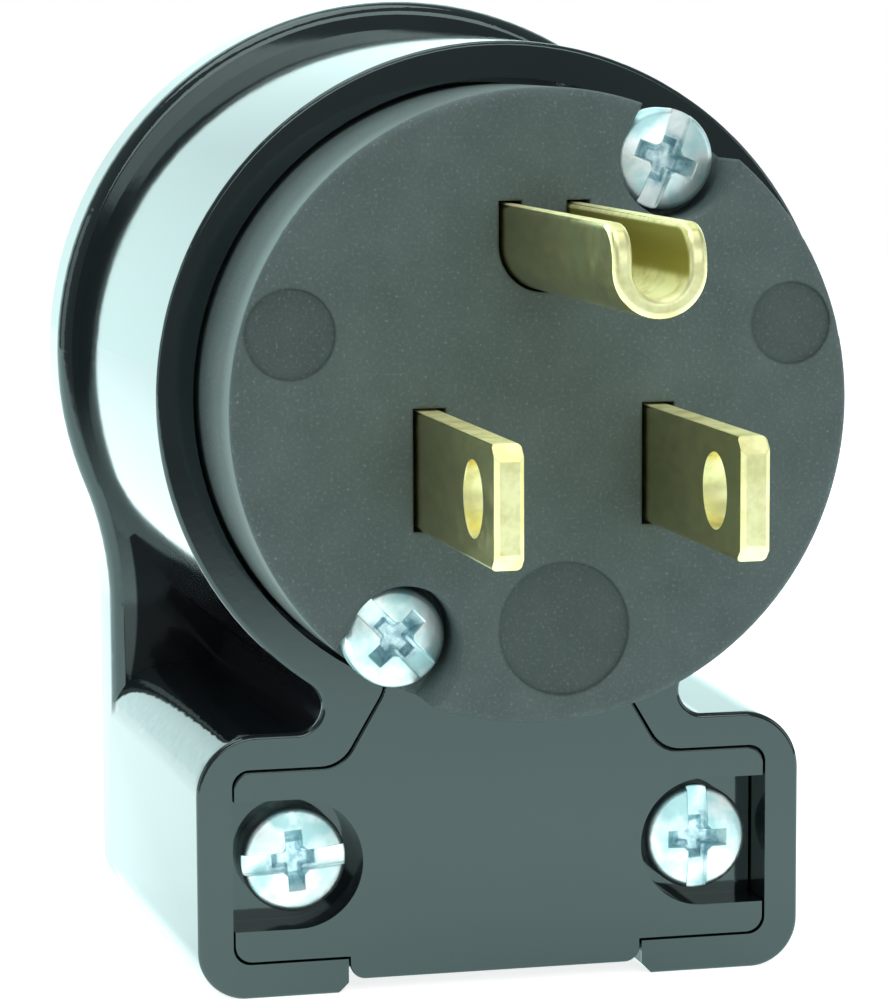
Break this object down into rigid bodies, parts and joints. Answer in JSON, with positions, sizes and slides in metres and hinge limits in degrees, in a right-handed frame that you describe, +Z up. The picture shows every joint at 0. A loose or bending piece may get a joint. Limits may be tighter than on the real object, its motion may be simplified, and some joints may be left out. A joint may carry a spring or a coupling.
{
  "type": "type b plug",
  "caption": "Right-angle wire-it-yourself type B plug: round face with two flat blades and a U-shaped ground pin, black housing, and a screwed cord clamp in the block below",
  "frame": {"origin": "centre of the round front face, in its plane", "axes": "+Z up towards the ground pin, with the clamp block below. The contacts point along -Y. +X is to the right when the contacts are looked at end on."},
  "size_m": [0.0426, 0.0604, 0.0555],
  "materials": {
    "black_nylon": "smooth moulded black nylon",
    "grey_face": "matt moulded thermoset, dark warm grey",
    "grey_carrier": "matt moulded thermoset, mid grey",
    "contact_brass": "rolled and blanked, bright",
    "insert_brass": "turned",
    "zinc_steel": "bright zinc plate",
    "green_steel": "green passivated steel"
  },
  "bodies": {
    "root": {"rear_housing": "black_nylon", "cord_clamp_plate": "black_nylon", "face_insulator": "grey_face", "terminal_carrier": "grey_carrier", "line_blade": "contact_brass", "neutral_blade": "contact_brass", "ground_pin": "contact_brass", "line_pressure_plate": "zinc_steel", "neutral_pressure_plate": "zinc_steel", "ground_pressure_plate": "zinc_steel", "line_terminal_screw": "insert_brass", "neutral_terminal_screw": "zinc_steel", "ground_terminal_screw": "green_steel", "assembly_screw_upper": "zinc_steel", "assembly_screw_lower": "zinc_steel", "assembly_insert_upper": "insert_brass", "assembly_insert_lower": "insert_brass", "clamp_screw_left": "zinc_steel", "clamp_screw_right": "zinc_steel", "clamp_insert_left": "insert_brass", "clamp_insert_right": "insert_brass"}
  },
  "joints": []
}
